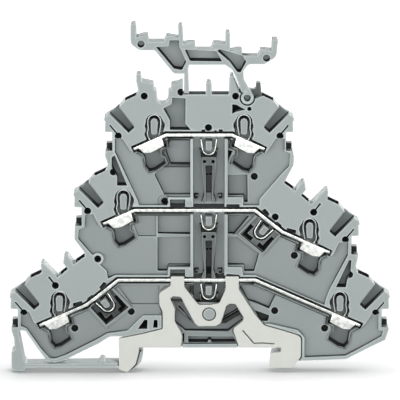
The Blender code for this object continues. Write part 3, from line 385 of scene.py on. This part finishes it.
def dressed(node, name, edge, body, finish, share_of_depth=1.0):
    """A copy of a CAD node with its points merged, its edges rounded and its depths marked for painted shade
    and painted highlight.
    """
    bpy.ops.object.select_all(action="DESELECT")
    piece = bpy.data.objects.new(name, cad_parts[node].data.copy())
    piece.data.name = name
    bpy.context.scene.collection.objects.link(piece)
    bpy.context.view_layer.objects.active = piece
    piece.select_set(True)
    bpy.ops.object.mode_set(mode="EDIT")
    bpy.ops.mesh.select_all(action="SELECT")
    bpy.ops.mesh.remove_doubles(threshold=MERGE_REACH)
    bpy.ops.mesh.dissolve_limited(angle_limit=FLAT_ANGLE)
    bpy.ops.object.mode_set(mode="OBJECT")
    shape = bmesh.new()
    shape.from_mesh(piece.data)
    room_weights(shape, edge)
    shape.to_mesh(piece.data)
    shape.free()
    bevel = piece.modifiers.new("edge", "BEVEL")
    bevel.width = edge
    bevel.segments = EDGE_SEGMENTS
    bevel.limit_method = "WEIGHT"
    bevel.use_clamp_overlap = False
    bpy.ops.object.modifier_apply(modifier=bevel.name)
    shape = bmesh.new()
    shape.from_mesh(piece.data)
    areas = []
    for area in flat_areas(shape):
        face = next(iter(area))
        whole = len(area) == 1 and len(face.verts) <= 4 and face.calc_area() < SMALL_FACE
        areas.append(area if whole else lay_anew(shape, area))
    mark_depth(shape, areas, share_of_depth)
    bmesh.ops.remove_doubles(shape, verts=shape.verts, dist=DOUBLE_REACH)
    shape.to_mesh(piece.data)
    shape.free()
    bpy.ops.object.shade_smooth_by_angle(angle=SHARP_ANGLE)
    normals = piece.modifiers.new("normals", "WEIGHTED_NORMAL")
    normals.keep_sharp = True
    bpy.ops.object.modifier_apply(modifier=normals.name)
    piece.data.materials.clear()
    piece.data.materials.append(finish)
    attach(piece, body)
    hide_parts(node)


# Polyamide moulded in a spark-eroded tool: a satin surface with a grain of a few hundredths of a
# millimetre, drawn coarser here so that it shows, and a faint cloudiness from the glass fibre.
POLYAMIDE_GREY = "ABB4B3"
POLYAMIDE_SHADE = "A5AEAD"
POLYAMIDE_IOR = 1.53
GRAIN_SIZE = 0.35 * MM
PATCH_SIZE = 9 * MM
GRAIN_HEIGHT = 0.01 * MM
SATIN, DEEP_SATIN = 0.52, 1.0
EDGE_HIGHLIGHT = 1.4
SHADE_STOPS = (
    (0.28, 0.02), (0.36, 0.05), (0.42, 0.26), (0.48, 0.48), (0.54, 0.6), (0.6, 0.74), (0.64, 0.68),
    (0.71, 0.66), (0.78, 0.76), (0.84, 0.86), (1.0, 1.0),
)

polyamide, shader = new_material("moulded_polyamide")
shader.inputs["IOR"].default_value = POLYAMIDE_IOR
place = add_node(polyamide, "ShaderNodeTexCoord").outputs["Object"]
clouds = add_node(
    polyamide, "ShaderNodeTexNoise", None, {"Scale": 1 / PATCH_SIZE, "Detail": 3.0}, {"Vector": place}
)
grain = add_node(
    polyamide, "ShaderNodeTexNoise", None, {"Scale": 1 / GRAIN_SIZE, "Detail": 2.0}, {"Vector": place}
)
tint = add_node(
    polyamide, "ShaderNodeMix", {"data_type": "RGBA"},
    {6: linear(POLYAMIDE_SHADE), 7: linear(POLYAMIDE_GREY)}, {"Factor": clouds.outputs["Fac"]},
)

# Painted shade: what is narrow and deep gets less of its colour and no gloss. Painted highlight: a rounded edge
# gets a little more of its colour.
depth = add_node(polyamide, "ShaderNodeAttribute", {"attribute_name": "openness"})
shade = add_node(polyamide, "ShaderNodeValToRGB", None, None, {"Fac": depth.outputs["Fac"]})
stops = shade.color_ramp.elements
for position, _ in SHADE_STOPS[1:-1]:
    stops.new(position)
for stop, (position, share) in zip(stops, SHADE_STOPS):
    stop.position = position
    stop.color = (share, share, share, 1.0)
painted_edge_light = add_node(polyamide, "ShaderNodeAttribute", {"attribute_name": "painted_edge_light"})
painted_edge_light = add_node(
    polyamide, "ShaderNodeMapRange", None, {"To Min": 1.0, "To Max": EDGE_HIGHLIGHT}, {"Value": painted_edge_light.outputs["Fac"]}
)
shade = add_node(
    polyamide, "ShaderNodeMath", {"operation": "MULTIPLY"}, None,
    {0: shade.outputs["Color"], 1: painted_edge_light.outputs["Result"]},
)
dimmed = add_node(
    polyamide, "ShaderNodeVectorMath", {"operation": "SCALE"}, None,
    {0: tint.outputs[2], "Scale": shade.outputs[0]},
)
polyamide.node_tree.links.new(dimmed.outputs[0], shader.inputs["Base Color"])
dull = add_node(
    polyamide, "ShaderNodeMapRange", None,
    {"From Min": 0.3, "From Max": 0.7, "To Min": DEEP_SATIN, "To Max": SATIN}, {"Value": depth.outputs["Fac"]},
)
polyamide.node_tree.links.new(dull.outputs["Result"], shader.inputs["Roughness"])
bump = add_node(
    polyamide, "ShaderNodeBump", None, {"Strength": 0.12, "Distance": GRAIN_HEIGHT},
    {"Height": grain.outputs["Fac"]},
)
polyamide.node_tree.links.new(bump.outputs["Normal"], shader.inputs["Normal"])

dressed("housing", "housing_moulding", HOUSING_EDGE, "block", polyamide)

# The marker carrier holds the label strips above the top deck. It is moulded from the same polyamide
# and snaps on to the housing's hinge pin. It is shallow, and its floors get no painted shade for depth, so they
# are as light as its rims.

dressed("marker_carrier", "marker_carrier_moulding", HOUSING_EDGE, "carrier", polyamide, 0.0)

# The three bus bars are stamped and bent from copper strip and plated with bright tin. Their ends
# are folded into the clamp cages. The tin sets in spangles, some brighter than others, drawn coarser
# here than the real ones so that they show.

BAR_EDGE = 0.07 * MM
BRIGHT_TIN = "D2D5D1"
DULL_TIN = "A9ACA8"
SPANGLE_SIZE = 0.9 * MM
LEAST_TIN_LIGHT = 0.25
TIN_EDGE_HIGHLIGHT = 1.3

bright_tin, shader = new_material("bright_tin_on_copper")
shader.inputs["Metallic"].default_value = 1.0
place = add_node(bright_tin, "ShaderNodeTexCoord").outputs["Object"]
spangle = add_node(
    bright_tin, "ShaderNodeTexNoise", None, {"Scale": 1 / SPANGLE_SIZE, "Detail": 3.0}, {"Vector": place}
)
share = add_node(
    bright_tin, "ShaderNodeMapRange", None, {"From Min": 0.35, "From Max": 0.6},
    {"Value": spangle.outputs["Fac"]},
)
tint = add_node(
    bright_tin, "ShaderNodeMix", {"data_type": "RGBA"}, {6: linear(DULL_TIN), 7: linear(BRIGHT_TIN)},
    {"Factor": share.outputs["Result"]},
)
# Painted shade: the tin is darker where it is narrow and deep. Painted highlight: it is lighter on rounded
# edges.
depth = add_node(bright_tin, "ShaderNodeAttribute", {"attribute_name": "openness"})
depth = add_node(
    bright_tin, "ShaderNodeMapRange", None, {"From Min": 0.3, "To Min": LEAST_TIN_LIGHT},
    {"Value": depth.outputs["Fac"]},
)
painted_edge_light = add_node(bright_tin, "ShaderNodeAttribute", {"attribute_name": "painted_edge_light"})
painted_edge_light = add_node(
    bright_tin, "ShaderNodeMapRange", None, {"To Min": 1.0, "To Max": TIN_EDGE_HIGHLIGHT},
    {"Value": painted_edge_light.outputs["Fac"]},
)
depth = add_node(
    bright_tin, "ShaderNodeMath", {"operation": "MULTIPLY"}, None,
    {0: depth.outputs["Result"], 1: painted_edge_light.outputs["Result"]},
)
dimmed = add_node(
    bright_tin, "ShaderNodeVectorMath", {"operation": "SCALE"}, None,
    {0: tint.outputs[2], "Scale": depth.outputs[0]},
)
bright_tin.node_tree.links.new(dimmed.outputs[0], shader.inputs["Base Color"])
gloss = add_node(
    bright_tin, "ShaderNodeMapRange", None, {"To Min": 0.42, "To Max": 0.24}, {"Value": spangle.outputs["Fac"]}
)
bright_tin.node_tree.links.new(gloss.outputs["Result"], shader.inputs["Roughness"])
for deck in ("top", "middle", "bottom"):
    dressed("busbar_" + deck, "bus_bar_" + deck, BAR_EDGE, "block", bright_tin)

# The jumper contacts are springs of tinned bronze strip, bent to a U that stands under its bar. Their
# tin is thinner than that of the bars, and duller.

CONTACT_TIN = "B8BCB7"
CONTACT_SHADE = "7E827E"
# The copy keeps the bar tin's painted shade in deep places and painted highlight on rounded edges.
contact_tin = bright_tin.copy()
contact_tin.name = "dull_tin_on_bronze"
tint = contact_tin.node_tree.nodes[tint.name]
tint.inputs[6].default_value = linear(CONTACT_SHADE)
tint.inputs[7].default_value = linear(CONTACT_TIN)
for unit in ("top", "middle", "bottom", "middle_right", "bottom_left"):
    dressed("jumper_spring_" + unit, "jumper_contact_" + unit, BAR_EDGE, "block", contact_tin)

# The clamp springs press the wires on to the bars. They are bent from hardened stainless strip, with
# fine streaks along it from rolling, and hang round the housing's pegs.

SPRING_EDGE = 0.05 * MM
SPRING_GREY = "C4C9C7"
SPRING_SHADE = "8A8F8D"
STREAK_SIZE = 0.12 * MM
STREAK_STRETCH = (1, 0.06, 1)

spring_steel, shader = new_material("rolled_spring_steel")
shader.inputs["Metallic"].default_value = 1.0
place = add_node(spring_steel, "ShaderNodeTexCoord").outputs["Object"]
streaks = add_node(spring_steel, "ShaderNodeMapping", None, {"Scale": STREAK_STRETCH}, {"Vector": place})
streaks = add_node(
    spring_steel, "ShaderNodeTexNoise", None, {"Scale": 1 / STREAK_SIZE, "Detail": 3.0},
    {"Vector": streaks.outputs["Vector"]},
)
tint = add_node(
    spring_steel, "ShaderNodeMix", {"data_type": "RGBA"}, {6: linear(SPRING_SHADE), 7: linear(SPRING_GREY)},
    {"Factor": streaks.outputs["Fac"]},
)
spring_steel.node_tree.links.new(tint.outputs[2], shader.inputs["Base Color"])
gloss = add_node(
    spring_steel, "ShaderNodeMapRange", None, {"To Min": 0.4, "To Max": 0.26}, {"Value": streaks.outputs["Fac"]}
)
spring_steel.node_tree.links.new(gloss.outputs["Result"], shader.inputs["Roughness"])
for deck in ("top", "middle", "bottom"):
    for side in ("left", "right"):
        unit = deck + "_" + side
        dressed(
            "clamp_spring_" + unit, "clamp_loop_" + unit, SPRING_EDGE, "block", spring_steel
        )

# The rail foot is punched from steel sheet and plated with matt tin. It is staked on the housing, with
# its tabs on the bottom bar and its hooks under the lips of the rail.

FOOT_EDGE = 0.08 * MM
MATT_TIN = "D6D8D2"
MATT_TIN_SHADE = "CCCEC8"
BLOOM_SIZE = 3 * MM
CRYSTAL_SIZE = 0.15 * MM
CRYSTAL_HEIGHT = 0.01 * MM

matt_tin, shader = new_material("matt_tin_on_steel")
shader.inputs["Metallic"].default_value = 0.25
shader.inputs["Roughness"].default_value = 0.6
place = add_node(matt_tin, "ShaderNodeTexCoord").outputs["Object"]
bloom = add_node(
    matt_tin, "ShaderNodeTexNoise", None, {"Scale": 1 / BLOOM_SIZE, "Detail": 3.0}, {"Vector": place}
)
crystals = add_node(
    matt_tin, "ShaderNodeTexNoise", None, {"Scale": 1 / CRYSTAL_SIZE, "Detail": 2.0}, {"Vector": place}
)
tint = add_node(
    matt_tin, "ShaderNodeMix", {"data_type": "RGBA"}, {6: linear(MATT_TIN_SHADE), 7: linear(MATT_TIN)},
    {"Factor": bloom.outputs["Fac"]},
)
matt_tin.node_tree.links.new(tint.outputs[2], shader.inputs["Base Color"])
bump = add_node(
    matt_tin, "ShaderNodeBump", None, {"Strength": 0.15, "Distance": CRYSTAL_HEIGHT},
    {"Height": crystals.outputs["Fac"]},
)
matt_tin.node_tree.links.new(bump.outputs["Normal"], shader.inputs["Normal"])
dressed("rail_foot", "rail_foot_plate", FOOT_EDGE, "block", matt_tin)

# A pale studio floor under a white sky. The floor glows white to the camera, and that glow is dimmed by ambient
# occlusion near the block, a painted contact shadow; the lamps' real shadow of the block falls on it too.
# It ends just before the lamps, because it is unlit and grey behind them.

FLOOR_GAP = 0.2 * MM
FLOOR_SIZE = 1.7
FLOOR_WHITE = "F2F2F2"
FLOOR_LIFT = 0.72
SHADOW_REACH = 14 * MM
floor_paint, shader = new_material("studio_floor")
shader.inputs["Base Color"].default_value = linear(FLOOR_WHITE)
shader.inputs["Roughness"].default_value = 0.9
rays = add_node(floor_paint, "ShaderNodeLightPath")
seen = add_node(
    floor_paint, "ShaderNodeMath", {"operation": "MAXIMUM"}, None,
    {0: rays.outputs["Is Camera Ray"], 1: rays.outputs["Is Glossy Ray"]},
)
seen = add_node(
    floor_paint, "ShaderNodeMath", {"operation": "MAXIMUM"}, None,
    {0: seen.outputs[0], 1: rays.outputs["Is Transmission Ray"]},
)
# Painted contact shadow: ambient occlusion dims the floor's glow near the block.
shadow = add_node(floor_paint, "ShaderNodeAmbientOcclusion", {"samples": 32}, {"Distance": SHADOW_REACH})
lift = add_node(
    floor_paint, "ShaderNodeMapRange", None, {"From Min": 0.35, "To Min": 0.0, "To Max": FLOOR_LIFT},
    {"Value": shadow.outputs["AO"]},
)
lift = add_node(
    floor_paint, "ShaderNodeMath", {"operation": "MULTIPLY"}, None,
    {0: seen.outputs[0], 1: lift.outputs["Result"]},
)
shader.inputs["Emission Color"].default_value = (1, 1, 1, 1)
floor_paint.node_tree.links.new(lift.outputs[0], shader.inputs["Emission Strength"])
bpy.ops.object.select_all(action="DESELECT")
bpy.ops.mesh.primitive_plane_add(size=FLOOR_SIZE, location=(0, 0, cad_box[0][2] - FLOOR_GAP))
floor = bpy.context.object
floor.name = "studio_floor"
floor.data.materials.append(floor_paint)

# The sky is white to the camera and dim to the block, which the soft boxes light.
SKY_LEVEL = 0.16

sky = bpy.data.worlds.new("studio_sky")
bpy.context.scene.world = sky
sky.use_nodes = True
shade = sky.node_tree.nodes["Background"]
rays = add_node(sky, "ShaderNodeLightPath")
seen = add_node(
    sky, "ShaderNodeMath", {"operation": "MAXIMUM"}, None,
    {0: rays.outputs["Is Camera Ray"], 1: rays.outputs["Is Glossy Ray"]},
)
seen = add_node(
    sky, "ShaderNodeMath", {"operation": "MAXIMUM"}, None,
    {0: seen.outputs[0], 1: rays.outputs["Is Transmission Ray"]},
)
level = add_node(
    sky, "ShaderNodeMapRange", None, {"To Min": SKY_LEVEL, "To Max": 1.0}, {"Value": seen.outputs[0]}
)
sky.node_tree.links.new(level.outputs[0], shade.inputs["Strength"])
shade.inputs["Color"].default_value = (1, 1, 1, 1)

# Two long, low soft boxes: one in front, a little above the middle of the block, which leaves the
# faces that look up dark, and a weaker one behind it for the closed side.


def soft_box(name, position, target, width, height, power):
    """A rectangular lamp that faces a point."""
    lamp = bpy.data.lights.new(name, "AREA")
    lamp.shape = "RECTANGLE"
    lamp.size = width
    lamp.size_y = height
    lamp.energy = power
    rig = bpy.data.objects.new(name, lamp)
    rig.location = position
    rig.rotation_euler = (Vector(target) - Vector(position)).to_track_quat("-Z", "Y").to_euler()
    bpy.context.scene.collection.objects.link(rig)


MIDDLE = (0.0, 0.0, 0.036)
soft_box("front_box", (-0.1, -0.9, 0.10), MIDDLE, 2.6, 0.45, 14.0)
soft_box("back_box", (0.3, 0.9, 0.12), MIDDLE, 1.6, 0.4, 9.0)

# The camera stands in front, twelve degrees above the block, far off behind a long lens. The scale and
# the places of the column's axis and the rail seat are the photo's, in pixels.

ELEVATION = math.radians(12.06)
DISTANCE = 0.9
PIXELS_PER_MM = 4.03
LEVEL_PIXELS_PER_MM = 3.94
IMAGE_SIZE = 400
AXIS_PIXEL = 210
SEAT_PIXEL = 349
FRONT_FACE = -2.6
SENSOR = 36.0

target = Vector((
    (IMAGE_SIZE / 2 - AXIS_PIXEL) / PIXELS_PER_MM * MM,
    FRONT_FACE * MM,
    (SEAT_PIXEL - IMAGE_SIZE / 2) / LEVEL_PIXELS_PER_MM * MM,
))
lens = bpy.data.cameras.new("photo_camera")
lens.sensor_width = SENSOR
lens.lens = SENSOR * DISTANCE / (IMAGE_SIZE / PIXELS_PER_MM * MM)
lens.clip_start = 0.01
lens.clip_end = 20
camera = bpy.data.objects.new("photo_camera", lens)
camera.location = target + DISTANCE * Vector((0, -math.cos(ELEVATION), math.sin(ELEVATION)))
camera.rotation_euler = (target - camera.location).to_track_quat("-Z", "Y").to_euler()
bpy.context.scene.collection.objects.link(camera)
bpy.context.scene.camera = camera
bpy.context.scene.view_settings.view_transform = "Standard"
